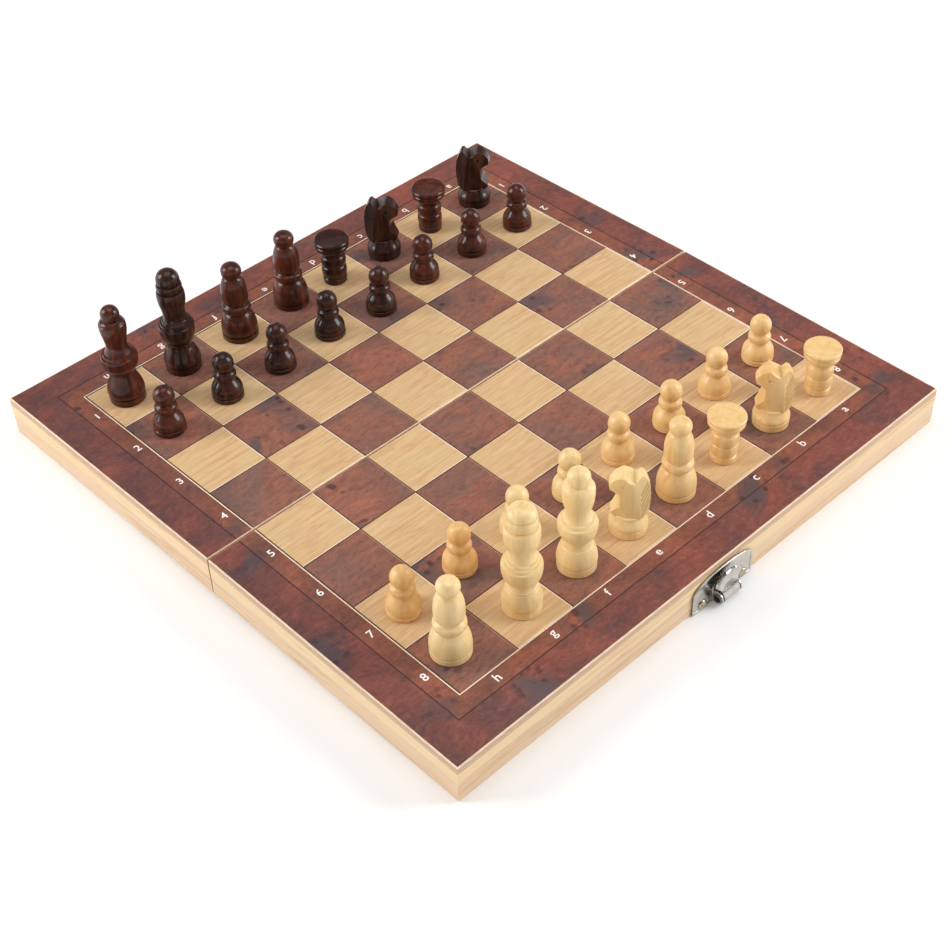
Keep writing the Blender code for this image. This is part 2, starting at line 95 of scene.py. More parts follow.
class Shade:
    """A node material: each method adds a node and returns its output socket."""

    def __init__(self, name):
        self.material = bpy.data.materials.new(name)
        self.material.use_nodes = True
        self.tree = self.material.node_tree
        self.shader = self.tree.nodes["Principled BSDF"]

    def set(self, **inputs):
        """Sets the shader's inputs, named with _ for a space, to numbers, colours or sockets."""
        for name, value in inputs.items():
            self.feed(self.shader.inputs[name.replace("_", " ")], value)
        return self

    def feed(self, socket, value):
        if isinstance(value, bpy.types.NodeSocket):
            self.tree.links.new(value, socket)
        else:
            socket.default_value = value

    def node(self, kind, inputs, output=0, **settings):
        made = self.tree.nodes.new(kind)
        for name, value in settings.items():
            setattr(made, name, value)
        for name, value in inputs.items():
            self.feed(made.inputs[name], value)
        return made.outputs[output]

    def object_space(self):
        return self.node("ShaderNodeTexCoord", {}, "Object")

    def attribute(self, name, output="Vector"):
        return self.node("ShaderNodeAttribute", {}, output, attribute_name=name)

    def moved(self, vector, scale=(1, 1, 1), turn=(0, 0, 0)):
        return self.node("ShaderNodeMapping", {"Vector": vector, "Scale": scale, "Rotation": turn})

    def plus(self, vector, other):
        return self.node("ShaderNodeVectorMath", {0: vector, 1: other}, operation="ADD")

    def noise(self, vector, scale, detail=4.0, roughness=0.5, distortion=0.0, output="Fac"):
        return self.node("ShaderNodeTexNoise", {
            "Vector": vector, "Scale": scale, "Detail": detail, "Roughness": roughness,
            "Distortion": distortion,
        }, output)

    def cells(self, vector, scale, randomness=1.0, smooth=0.4):
        return self.node("ShaderNodeTexVoronoi", {
            "Vector": vector, "Scale": scale, "Randomness": randomness, "Smoothness": smooth,
        }, "Distance", feature="SMOOTH_F1")

    def ramp(self, value, *stops):
        """A colour ramp through (position, colour or grey) stops."""
        made = self.tree.nodes.new("ShaderNodeValToRGB")
        self.feed(made.inputs[0], value)
        points = made.color_ramp.elements
        while len(points) < len(stops):
            points.new(0.5)
        for point, (position, colour) in zip(points, stops):
            point.position = position
            point.color = colour if isinstance(colour, tuple) else (colour, colour, colour, 1)
        return made.outputs[0]

    def mix(self, factor, first, second, blend="MIX"):
        made = self.tree.nodes.new("ShaderNodeMix")
        made.data_type = "RGBA"
        made.blend_type = blend
        self.feed(made.inputs["Factor"], factor)
        self.feed(made.inputs[6], first)
        self.feed(made.inputs[7], second)
        return made.outputs[2]

    def math(self, operation, first, second=0.0):
        return self.node("ShaderNodeMath", {0: first, 1: second}, operation=operation)

    def scaled(self, vector, scale):
        return self.node("ShaderNodeVectorMath", {0: vector, "Scale": scale}, operation="SCALE")

    def span(self, value, start, end, first, last):
        """Runs from first to last while the value runs from start to end."""
        return self.node("ShaderNodeMapRange", {
            "Value": value, "From Min": start, "From Max": end, "To Min": first, "To Max": last})

    def apart(self, vector, axis):
        return self.node("ShaderNodeSeparateXYZ", {"Vector": vector}, axis)

    def bump(self, height, strength, distance):
        normal = self.node("ShaderNodeBump", {"Height": height, "Strength": strength, "Distance": distance})
        return self.set(Normal=normal)


# ---- Wood and metal ----

def maple_print():
    """Printed maple squares: fine slanting fibres, a faint cross figure and a pale painted highlight line
    along two edges.
    """
    shade = Shade("maple_print")
    place = shade.plus(shade.object_space(), shade.attribute("cell_shift"))
    fibre = shade.noise(shade.moved(place, (40, 900, 1), (0, 0, math.radians(15))), 1.0, 5, 0.6, 0.3)
    figure = shade.noise(shade.moved(place, (150, 520, 1), (0, 0, math.radians(10))), 1.0, 3, 0.5, 0.6)
    patch = shade.noise(place, 70, 2)
    colour = shade.ramp(fibre, (0.25, linear(198, 152, 106)), (0.5, linear(218, 180, 134)),
                        (0.75, linear(230, 195, 151)))
    colour = shade.mix(shade.ramp(figure, (0.48, 0.0), (0.7, 0.45)), colour, linear(196, 142, 106))
    colour = shade.mix(shade.ramp(patch, (0.4, 0.0), (0.75, 0.4)), colour, linear(214, 190, 140))
    # Painted highlight: a pale line where the +X and -Y edges of the square catch the light.
    colour = shade.mix(edge_line(shade, 0.015, 0.011), colour, linear(250, 230, 204))
    shade.set(Base_Color=colour, Roughness=0.5, Specular_IOR_Level=0.3, Coat_Weight=0.04,
              Coat_Roughness=0.4)
    return shade.bump(fibre, 0.15, 0.0001).material


def edge_line(shade, right_width, low_width):
    """A mask for a painted highlight along two sides of a square: 1 near its +X side and, more thinly, near
    its -Y side.
    """
    across = shade.node("ShaderNodeUVMap", {}, 0, uv_map="cell")
    right = shade.math("GREATER_THAN", shade.apart(across, "X"), 1 - right_width)
    low = shade.math("LESS_THAN", shade.apart(across, "Y"), low_width)
    return shade.math("MAXIMUM", right, low)


def burl_print(name, red, brown, grey, with_line):
    """Printed burl: reddish and purple-brown clouds, streaky swirls and grey knots with dark eyes."""
    shade = Shade(name)
    place = shade.object_space()
    if with_line:
        place = shade.plus(place, shade.attribute("cell_shift"))
    bend = shade.noise(place, 45, 3, output="Color")
    swirl = shade.plus(place, shade.scaled(bend, 0.012))
    cloud = shade.noise(swirl, 55, 5, 0.55, 0.8)
    streak = shade.noise(shade.moved(swirl, (60, 420, 1), (0, 0, math.radians(25))), 1.0, 5, 0.65, 1.2)
    knot = shade.cells(swirl, 36, 1.0, 0.6)
    eye = shade.cells(swirl, 230, 1.0, 0.2)
    speck = shade.noise(place, 1400, 2)
    colour = shade.ramp(cloud, (0.32, red), (0.5, brown), (0.68, grey))
    colour = shade.mix(shade.ramp(streak, (0.45, 0.0), (0.72, 0.55)), colour, linear(112, 66, 60))
    mottle = shade.noise(shade.moved(swirl, (1, 1.6, 1)), 380, 6, 0.72, 0.5)
    colour = shade.mix(shade.ramp(mottle, (0.3, 0.5), (0.5, 0.0)), colour, linear(84, 46, 44))
    colour = shade.mix(shade.ramp(mottle, (0.52, 0.0), (0.72, 0.35)), colour, linear(186, 122, 102))
    lively = 0.45 if with_line else 0.15
    colour = shade.mix(shade.ramp(streak, (0.28, lively), (0.42, 0.0)), colour, linear(186, 108, 84))
    blot = shade.math("MULTIPLY", shade.ramp(knot, (0.16, 0.85), (0.33, 0.0)),
                      shade.ramp(cloud, (0.42, 0.0), (0.52, 1.0)))
    colour = shade.mix(blot, colour, linear(94, 80, 82))
    eyes = shade.math("MULTIPLY", shade.ramp(eye, (0.2, 1.0), (0.34, 0.0)),
                      shade.ramp(knot, (0.2, 0.8), (0.4, 0.0)))
    colour = shade.mix(eyes, colour, linear(74, 50, 52))
    colour = shade.mix(shade.ramp(speck, (0.4, 0.12), (0.6, 0.0)), colour, linear(90, 50, 44))
    # Painted highlight: a pinkish line along the +X side of each dark square, where its edge catches the
    # light.
    if with_line:
        colour = shade.mix(edge_line(shade, 0.01, 0.0), colour, linear(196, 146, 126))
    else:
        # Painted shade: a cool darkening over the -X end of the band and border.
        painted_end_shade = shade.span(shade.apart(shade.object_space(), "X"), -0.122, -0.09, 0.8, 0.0)
        colour = shade.mix(painted_end_shade, colour, (0.66, 0.72, 0.80, 1), "MULTIPLY")
    shade.set(Base_Color=colour, Roughness=0.48, Specular_IOR_Level=0.3, Coat_Weight=0.06,
              Coat_Roughness=0.4)
    return shade.bump(streak, 0.12, 0.0001).material


def plain_print(name, colour, roughness=0.5):
    """Ink of one colour, with the faint mottle of printed film."""
    shade = Shade(name)
    mottle = shade.noise(shade.object_space(), 900, 3)
    tone = shade.mix(shade.ramp(mottle, (0.35, 0.0), (0.7, 0.25)), colour, darker(colour, 0.7))
    shade.set(Base_Color=tone, Roughness=roughness)
    return shade.bump(mottle, 0.1, 0.00005).material


def softwood(name, light, dark, along, lines=0.5):
    """Pale sanded softwood with its grain along X or Y, wandering year rings and sawn fibre."""
    shade = Shade(name)
    squeeze = (14, 420, 300) if along == "X" else (420, 14, 300)
    place = shade.moved(shade.object_space(), squeeze)
    ring = shade.noise(place, 1.0, 4, 0.55, 0.7)
    fibre = shade.noise(shade.moved(place, (2, 5, 5)), 1.0, 4, 0.7)
    patch = shade.noise(shade.object_space(), 22, 2)
    colour = shade.ramp(ring, (0.3, light), (0.52, light), (0.6, dark), (0.66, light))
    colour = shade.mix(shade.ramp(fibre, (0.4, 0.0), (0.8, lines)), colour, dark)
    colour = shade.mix(shade.ramp(patch, (0.35, 0.0), (0.75, 0.3)), colour, linear(240, 205, 168))
    below = shade.math("LESS_THAN", shade.apart(shade.object_space(), "Z"), RAIL_GROOVE_HEIGHT * MM)
    strip = shade.mix(below, (0.93, 0.88, 0.74, 1), (0.88, 0.80, 0.74, 1))
    colour = shade.mix(1.0, colour, strip, "MULTIPLY")
    roughness = shade.ramp(fibre, (0.3, 0.5), (0.8, 0.62))
    shade.set(Base_Color=colour, Roughness=roughness, Coat_Weight=0.08, Coat_Roughness=0.4)
    return shade.bump(fibre, 0.25, 0.0001).material


def plywood():
    """The panel's edge: three thin plies, the glue lines between them, and the sanded top corner."""
    shade = Shade("plywood_edge")
    place = shade.object_space()
    wander = shade.noise(shade.moved(place, (60, 60, 5)), 1.0, 3)
    height = shade.math("ADD", shade.apart(place, "Z"), shade.math("MULTIPLY", wander, 0.0005))
    layer = shade.span(height, (RAIL_TOP + 0.25) * MM, (PANEL_TOP + 0.25) * MM, 0.0, 1.0)
    sanded = linear(252, 226, 194)
    band = shade.ramp(layer, (0.0, linear(196, 158, 126)), (0.06, linear(150, 112, 92)),
                      (0.12, linear(226, 196, 162)), (0.36, linear(214, 180, 148)),
                      (0.4, linear(158, 118, 98)), (0.46, linear(206, 168, 140)),
                      (0.66, linear(220, 186, 152)), (0.7, linear(150, 112, 96)),
                      (0.75, linear(224, 192, 160)), (0.86, sanded), (1.0, sanded))
    fibre = shade.noise(shade.moved(place, (300, 300, 3000)), 1.0, 3)
    colour = shade.mix(shade.ramp(fibre, (0.4, 0.0), (0.75, 0.45)), band, linear(150, 116, 98))
    shade.set(Base_Color=colour, Roughness=0.6)
    return shade.bump(fibre, 0.35, 0.0002).material


def lacquered_wood(name, light, middle, dark, roughness, coat, coat_roughness, specular=0.4):
    """Turned wood under lacquer: upright grain, soft clouding and fine pores."""
    shade = Shade(name)
    chance = shade.node("ShaderNodeObjectInfo", {}, "Random")
    shift = shade.scaled((3.1, 1.7, 0.9), chance)
    place = shade.plus(shade.object_space(), shift)
    grain = shade.noise(shade.moved(place, (260, 260, 28)), 1.0, 4, 0.6, 0.8)
    cloud = shade.noise(place, 60, 2)
    pores = shade.noise(shade.moved(place, (1500, 1500, 120)), 1.0, 2)
    colour = shade.ramp(grain, (0.3, light), (0.5, middle), (0.72, dark))
    colour = shade.mix(shade.ramp(cloud, (0.35, 0.0), (0.75, 0.5)), colour, middle)
    colour = shade.mix(shade.ramp(pores, (0.55, 0.0), (0.8, 0.35)), colour, dark)
    shade.set(Base_Color=colour, Roughness=roughness, Specular_IOR_Level=specular,
              Coat_Weight=coat, Coat_Roughness=coat_roughness)
    return shade.bump(grain, 0.06, 0.0001).material


def plated_metal(name, colour, roughness, wear):
    """Plated steel: rubbed patches, fine scratches and a slightly uneven surface."""
    shade = Shade(name)
    place = shade.object_space()
    rubbed = shade.noise(place, 320, 4, 0.6)
    scratch = shade.noise(shade.moved(place, (200, 4000, 4000), (0.3, 0.2, 0.5)), 1.0, 3)
    tone = shade.mix(shade.ramp(rubbed, (0.4, 0.0), (0.75, wear)), colour, darker(colour, 0.55))
    rough = shade.ramp(rubbed, (0.3, roughness), (0.8, min(1.0, roughness * 2.2)))
    shade.set(Base_Color=tone, Metallic=1.0, Roughness=rough)
    return shade.bump(scratch, 0.08, 0.00005).material


MAPLE = maple_print()
BURL = burl_print("burl_print", linear(168, 106, 84), linear(146, 100, 84), linear(128, 100, 90), True)
BORDER_BURL = burl_print("border_burl", linear(156, 86, 72), linear(132, 78, 68), linear(98, 70, 72), False)
BAND_BURL = burl_print("band_burl", linear(166, 98, 74), linear(142, 86, 68), linear(118, 78, 68), False)
CREAM = plain_print("cream_line", linear(250, 222, 192))
WHITE = plain_print("white_ink", linear(255, 250, 244))
# Painted shadow: a dark sheet under the print, seen in the gaps between squares and bands.
GROOVE = plain_print("groove_shadow", linear(62, 36, 30))
PLY = plywood()
PINE_LIGHT = linear(243, 222, 192)
PINE_DARK = linear(224, 194, 156)
RAIL_X = softwood("pine_along_x", PINE_LIGHT, PINE_DARK, "X")
RAIL_Y = softwood("pine_along_y", PINE_LIGHT, PINE_DARK, "Y")
TRAY_FLOOR = softwood("tray_floor", linear(226, 190, 146), linear(192, 148, 104), "X", 0.8)
BOXWOOD = lacquered_wood(
    "boxwood", linear(248, 222, 168), linear(243, 212, 152), linear(230, 190, 126), 0.42, 0.35, 0.25)
WARM_BOXWOOD = lacquered_wood(
    "warm_boxwood", linear(247, 214, 156), linear(240, 200, 136), linear(226, 176, 108), 0.42, 0.35, 0.25)
HONEY_BOXWOOD = lacquered_wood(
    "honey_boxwood", linear(245, 204, 142), linear(236, 188, 120), linear(224, 168, 98), 0.4, 0.35, 0.25)
EBONISED = lacquered_wood(
    "ebonised_wood", linear(88, 38, 20), linear(46, 21, 13), linear(20, 11, 8), 0.4, 0.5, 0.08, specular=0.15)
RED_MAHOGANY = lacquered_wood(
    "red_mahogany", linear(118, 52, 26), linear(72, 30, 17), linear(30, 14, 9), 0.4, 0.5, 0.08, specular=0.15)
NICKEL = plated_metal("nickel_plate", (0.62, 0.60, 0.56, 1), 0.14, 0.5)
STEEL = plated_metal("screw_steel", (0.48, 0.46, 0.43, 1), 0.25, 0.7)
BRASSED = plated_metal("brassed_steel", (0.52, 0.43, 0.26, 1), 0.3, 0.7)
PLATED_BRASS = plated_metal("screw_head", (0.55, 0.49, 0.36, 1), 0.2, 0.6)
POLISHED = plated_metal("polished_nickel", (0.60, 0.57, 0.52, 1), 0.09, 0.4)


# ---- Mesh helpers ----

def at(x, y, z):
    return Matrix.Translation(Vector((x, y, z)) * MM)


def turned(angle, axis):
    return Matrix.Rotation(math.radians(angle), 4, axis)


def add_piece(name, mesh, materials, place, body, replaced=()):
    """Links a mesh as a piece of the object, lets it ride on a body, and hides the nodes it stands for."""
    for material in materials:
        mesh.materials.append(material)
    piece = bpy.data.objects.new(name, mesh)
    bpy.context.scene.collection.objects.link(piece)
    piece.matrix_world = place
    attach(piece, body)
    if replaced:
        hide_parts(*replaced)
    return piece


def smoothed(mesh, angle=35):
    """Smooth shading, with edges sharper than the angle left crisp."""
    mesh.shade_smooth()
    mesh.set_sharp_from_angle(angle=math.radians(angle))
    return mesh


def mesh_from(bm, name, smooth_angle=None):
    bmesh.ops.recalc_face_normals(bm, faces=bm.faces)
    mesh = bpy.data.meshes.new(name)
    bm.to_mesh(mesh)
    bm.free()
    return mesh if smooth_angle is None else smoothed(mesh, smooth_angle)


def mesh_of(data, **solidify_settings):
    """The evaluated mesh of a curve or mesh, thickened by Solidify if its settings are given."""
    temporary = bpy.data.objects.new("temporary", data)
    bpy.context.scene.collection.objects.link(temporary)
    if solidify_settings:
        solidify = temporary.modifiers.new("sheet", "SOLIDIFY")
        for setting, value in solidify_settings.items():
            setattr(solidify, setting, value)
    graph = bpy.context.evaluated_depsgraph_get()
    mesh = bpy.data.meshes.new_from_object(temporary.evaluated_get(graph))
    bpy.data.objects.remove(temporary, do_unlink=True)
    return mesh


def inset_outline(outline, distance):
    """The outline moved inwards by a distance; its points run anticlockwise."""
    moved = []
    for index, point in enumerate(outline):
        before = (Vector(point) - Vector(outline[index - 1])).normalized()
        after = (Vector(outline[(index + 1) % len(outline)]) - Vector(point)).normalized()
        corner = Vector((-before.y, before.x)) + Vector((-after.y, after.x))
        moved.append(Vector(point) + corner * (distance / (1 + before.dot(after))))
    return moved


def add_plate(bm, outline, top, depth, bevel, material_index):
    """A low flat plate with sloping sides, as one closed body."""
    rings = [
        [bm.verts.new(Vector((x, y, z)) * MM) for x, y in points]
        for points, z in (
            (outline, top - depth),
            (inset_outline(outline, bevel * 0.3), top - bevel * 0.4),
            (inset_outline(outline, bevel), top),
        )
    ]
    faces = [bm.faces.new(list(reversed(rings[0]))), bm.faces.new(rings[-1])]
    for low, high in zip(rings, rings[1:]):
        for i in range(len(low)):
            j = (i + 1) % len(low)
            faces.append(bm.faces.new((low[i], low[j], high[j], high[i])))
    for face in faces:
        face.material_index = material_index
    return faces


def rectangle(x0, x1, y0, y1):
    x0, x1, y0, y1 = min(x0, x1), max(x0, x1), min(y0, y1), max(y0, y1)
    return [(x0, y0), (x1, y0), (x1, y1), (x0, y1)]


def u_band(side, inner, outer, start):
    """A band round three sides of a half board, open at the seam, anticlockwise."""
    points = [
        (-outer, side * start), (-outer, side * outer), (outer, side * outer), (outer, side * start),
        (inner, side * start), (inner, side * inner), (-inner, side * inner), (-inner, side * start),
    ]
    return points if side < 0 else list(reversed(points))


# ---- Playing surface ----

PRINTS = [MAPLE, BURL, CREAM, BAND_BURL, BORDER_BURL, GROOVE]
LIGHT_SLOT, DARK_SLOT, LINE_SLOT, BAND_SLOT, BORDER_SLOT, GROOVE_SLOT = range(6)


def playing_surface(half, side):
    """The printed sheet of one half: squares, cream line, coordinate band and border, all set in grooves."""
    bm = bmesh.new()
    uv = bm.loops.layers.uv.new("cell")
    shift = bm.loops.layers.float_vector.new("cell_shift")
    start = SEAM + SANDED_EDGE * 0.6
    rim = HALF_BOARD - SANDED_EDGE
    ground = rectangle(-rim, rim, side * start, side * rim)
    # A dark sheet under the squares, which shows as painted shadow in the gaps between them.
    add_plate(bm, ground, PANEL_TOP - PRINT_DEPTH * 0.8, PRINT_DEPTH, 0.01, GROOVE_SLOT)
    for column in range(8):
        for row in range(4):
            x0 = (column - 4) * SQUARE + DARK_LINE
            x1 = (column - 3) * SQUARE
            near = max(row * SQUARE + (0 if side > 0 else DARK_LINE), start)
            far = (row + 1) * SQUARE - (DARK_LINE if side > 0 else 0)
            low = min(side * near, side * far)
            rank_row = 4 + row if side > 0 else 3 - row
            dark = (column + rank_row) % 2 == 0
            faces = add_plate(bm, rectangle(x0, x1, side * near, side * far), PANEL_TOP, PRINT_DEPTH, 0.05,
                              DARK_SLOT if dark else LIGHT_SLOT)
            offset = Vector((random.random(), random.random(), 0)) * 0.9
            for face in faces:
                for loop in face.loops:
                    position = loop.vert.co / MM
                    loop[uv].uv = ((position.x - x0) / (x1 - x0), (position.y - low) / (far - near))
                    loop[shift] = offset
    band_start, band_end = FIELD + LINE_WIDTH + 0.15, FIELD + BAND_WIDTH
    for inner, outer, bevel, slot in (
        (FIELD + 0.1, FIELD + LINE_WIDTH, 0.03, LINE_SLOT),
        (band_start, band_end, 0.05, BAND_SLOT),
        (band_end + DARK_LINE, rim, 0.05, BORDER_SLOT),
    ):
        add_plate(bm, u_band(side, inner, outer, start), PANEL_TOP, PRINT_DEPTH, bevel, slot)
    return mesh_from(bm, f"{half}_printed_sheet")


def panel_body(half, side):
    """The plywood under the print, with softened top edges."""
    bm = bmesh.new()
    outline = rectangle(-HALF_BOARD, HALF_BOARD, side * SEAM, side * HALF_BOARD)
    faces = add_plate(bm, outline, PANEL_TOP - PRINT_DEPTH, PANEL_THICKNESS - PRINT_DEPTH, 0.3, 0)
    faces[0].material_index = 1
    return mesh_from(bm, f"{half}_plywood")


LETTER_HEIGHT = 3.5
DIGIT_HEIGHT = 3.3
# Font size for a digit of height 1.
FONT_SIZE = 1.36


def add_label(bm, text, x, y, upright, height):
    """One printed character, centred at (x, y), upright for a reader at the -Y side or turned half round."""
    curve = bpy.data.curves.new("label", "FONT")
    curve.body = text
    curve.size = height * FONT_SIZE * MM
    curve.resolution_u = 6
    curve.extrude = 0.02 * MM
    curve.offset = 0.05 * MM
    mesh = mesh_of(curve)
    xs = [v.co.x for v in mesh.vertices]
    middle = Vector(((min(xs) + max(xs)) / 2, x_height_middle(text, height), 0))
    turn = Matrix.Rotation(0 if upright else math.pi, 4, "Z")
    mesh.transform(at(x, y, PANEL_TOP + 0.01) @ turn @ Matrix.Translation(-middle))
    bm.from_mesh(mesh)
    bpy.data.meshes.remove(mesh)


def x_height_middle(text, height):
    """How high above its baseline a character is centred."""
    return (height / 2 if text in "12345678bdfh" else height * 0.34) * MM


def labels(half, side):
    """Letters along the outer rail and numbers along both ends of one half."""
    bm = bmesh.new()
    centre = FIELD + 3.3
    near_side = side < 0
    for column, letter in enumerate("hgfedcba"):
        add_label(bm, letter, (column - 3.5) * SQUARE, side * centre, near_side, LETTER_HEIGHT)
    for row in range(4):
        y = side * (row + 0.5) * SQUARE
        rank = 4 - row if side > 0 else 5 + row
        add_label(bm, str(rank), -centre, y, True, DIGIT_HEIGHT)
        add_label(bm, str(rank), centre, y, False, DIGIT_HEIGHT)
    return mesh_from(bm, f"{half}_labels")


# ---- Rails ----

def rail_section():
    """Section of a rail, in (distance in from its outer face, height), anticlockwise seen along it."""
    soft = 0.5
    section = [(0.0, RAIL_TOP), (RAIL_WIDTH, RAIL_TOP), (RAIL_WIDTH, RAIL_FOOT + soft * 0.6),
               (RAIL_WIDTH - soft * 0.6, RAIL_FOOT)]
    section += [
        (soft - soft * math.sin(angle), RAIL_FOOT + soft - soft * math.cos(angle))
        for angle in map(math.radians, (0, 30, 60, 90))
    ]
    middle = RAIL_GROOVE_HEIGHT
    return section + [(0.0, middle - 0.3), (RAIL_GROOVE_DEPTH, middle), (0.0, middle + 0.12)]


def rail_mesh(name, start, end, inward):
    """A mitred rail with a fine groove round its outer face; its ends meet the next rails at 45 degrees."""
    start, end, inward = Vector((*start, 0)), Vector((*end, 0)), Vector((*inward, 0))
    along = (end - start).normalized()
    section = rail_section()
    bm = bmesh.new()
    mitre = 0.02
    rings = []
    for corner, direction in ((start, 1), (end, -1)):
        ring = [
            corner + inward * depth + along * direction * (depth + mitre) + Vector((0, 0, height))
            for depth, height in section
        ]
        rings.append([bm.verts.new(point * MM) for point in ring])
    bm.faces.new(rings[0])
    bm.faces.new(list(reversed(rings[1])))
    for i in range(len(section)):
        j = (i + 1) % len(section)
        bm.faces.new((rings[0][i], rings[0][j], rings[1][j], rings[1][i]))
    return mesh_from(bm, name, 50)


for half, facts in HALVES.items():
    side, place, body = facts["side"], facts["place"], facts["body"]
    add_piece(f"{half}_printed_sheet", playing_surface(half, side), PRINTS, place, body,
              [f"{half}_panel"])
    add_piece(f"{half}_labels", labels(half, side), [WHITE], place, body)
    add_piece(f"{half}_plywood", panel_body(half, side), [PLY, TRAY_FLOOR], place, body,
              [f"{half}_panel"])
    rim, seam = side * HALF_BOARD, side * SEAM
    runs = {
        "outer": ((-HALF_BOARD, rim), (HALF_BOARD, rim), (0, -side), RAIL_X),
        "left": ((-HALF_BOARD, seam), (-HALF_BOARD, rim), (1, 0), RAIL_Y),
        "right": ((HALF_BOARD, seam), (HALF_BOARD, rim), (-1, 0), RAIL_Y),
    }
    for name, (start, end, inward, wood) in runs.items():
        rail = f"{half}_{name}_rail"
        add_piece(f"{rail}_wood", rail_mesh(rail, start, end, inward), [wood], place, body, [rail])


# ---- Hardware that keeps its CAD shape ----

for name, node in nodes.items():
    if name.endswith("centre_rail"):
        finish = RAIL_X
    elif name.endswith("leaf"):
        finish = BRASSED
    elif "hinge" in name:
        finish = STEEL
    else:
        continue
    node.data.materials.clear()
    node.data.materials.append(finish)


# ---- Chessmen ----

